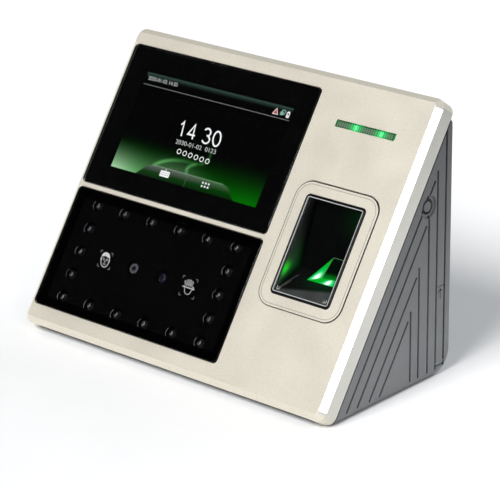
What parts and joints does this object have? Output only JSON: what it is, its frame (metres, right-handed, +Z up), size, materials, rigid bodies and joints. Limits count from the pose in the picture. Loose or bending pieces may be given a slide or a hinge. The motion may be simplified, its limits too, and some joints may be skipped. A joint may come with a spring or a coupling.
{
  "type": "fingerprint and face recognition terminal",
  "caption": "Wedge-shaped desk and wall access terminal with a leaning metallic bezel, touch screen, dark camera window, fingerprint reader, grooved grey housing and wall plate.",
  "frame": {"origin": "on the surface that the terminal stands on, under the middle of its bounding box", "axes": "+X to the right of someone who faces the terminal, +Y towards its flat back, +Z up"},
  "size_m": [0.192, 0.0956, 0.1349],
  "materials": {
    "battery_wrap": "blue shrink sleeve",
    "bezel_paint": "champagne silver metallic paint on a moulded bezel, fine grain",
    "black_plastic": "black moulded plastic, satin",
    "black_screw": "black-finished steel",
    "board_green": "green solder mask over copper tracks",
    "cell_metal": "nickel-plated cell can",
    "chip_white": "cream LED package with a yellow phosphor face",
    "clear_plastic": "clear acrylic",
    "cone_paper": "black speaker frame",
    "dark_glass": "smoked glass, polished, printed black border",
    "display": "glossy black display face",
    "gloss_black": "polished black plastic",
    "glue": "black double-sided foam tape",
    "housing_plastic": "mid grey moulded plastic with a fine spark texture",
    "lamp_epoxy": "tinted clear epoxy",
    "lens_glass": "coated lens glass",
    "plate_steel": "black powder coat on sheet steel",
    "prism_glass": "clear optical glass",
    "ribbon": "amber film over copper",
    "rubber": "black rubber, matt",
    "screw_steel": "zinc-plated steel",
    "shield_steel": "tinned sheet steel, satin",
    "terminal_green": "green moulded terminal block"
  },
  "bodies": {
    "root": {"front_bezel": "bezel_paint", "touch_panel": "dark_glass", "camera_window": "dark_glass", "glass_glue": "glue", "lcd_module": "display", "lcd_bracket": "shield_steel", "lamp_shield": "black_plastic", "lamp_board": "board_green", "infrared_lamps": "lamp_epoxy", "colour_camera_module": "black_plastic", "colour_camera_lens": "lens_glass", "infrared_camera_module": "black_plastic", "infrared_camera_lens": "lens_glass", "camera_board": "board_green", "camera_standoffs": "screw_steel", "status_light_pipe": "clear_plastic", "status_light_board": "board_green", "status_leds": "chip_white", "fingerprint_surround": "bezel_paint", "fingerprint_frame": "gloss_black", "fingerprint_prism": "prism_glass", "fingerprint_well": "black_plastic", "fingerprint_mirror": "gloss_black", "fingerprint_leds": "chip_white", "fingerprint_board": "board_green", "card_aerial_board": "board_green", "card_aerial_pads": "glue", "rear_housing": "housing_plastic", "power_switch": "black_plastic", "power_switch_board": "board_green", "usb_cover_pin": "screw_steel", "usb_socket": "shield_steel", "usb_board": "board_green", "main_board": "board_green", "board_screws": "screw_steel", "processor_shield": "shield_steel", "clock_cell": "cell_metal", "clock_cell_holder": "black_plastic", "network_socket": "shield_steel", "power_inlet": "black_plastic", "terminal_blocks": "terminal_green", "tamper_switch": "black_plastic", "reset_switch": "black_plastic", "speaker": "cone_paper", "speaker_gasket": "glue", "backup_battery": "battery_wrap", "wall_plate": "plate_steel", "wall_plate_screw": "black_screw", "rubber_feet": "rubber", "upper_case_screws": "black_screw", "lower_case_screws": "black_screw", "screen_ribbon": "ribbon", "camera_ribbon": "ribbon", "reader_ribbon": "ribbon"},
    "power_button": {"power_button": "housing_plastic", "power_switch_plunger": "black_plastic"},
    "usb_cover": {"usb_port_cover": "housing_plastic"},
    "tamper_plunger": {"tamper_plunger": "black_plastic"},
    "reset_button": {"reset_button": "rubber"}
  },
  "joints": [
    {"name": "power_button_press", "type": "slide", "parent": "root", "child": "power_button", "axis": [-1, 0, 0], "range_m": [0, 0.0008], "stiffness_N_per_m": 2500},
    {"name": "usb_cover_hinge", "type": "hinge", "parent": "root", "child": "usb_cover", "pos_m": [0.0945, 0.0392, 0.006], "axis": [0, 1, 0], "range_deg": [0, 95]},
    {"name": "tamper_plunger_press", "type": "slide", "parent": "root", "child": "tamper_plunger", "axis": [0, -1, 0], "range_m": [0, 0.0015], "stiffness_N_per_m": 400},
    {"name": "reset_button_press", "type": "slide", "parent": "root", "child": "reset_button", "axis": [0, -1, 0], "range_m": [0, 0.0004], "stiffness_N_per_m": 4000}
  ]
}
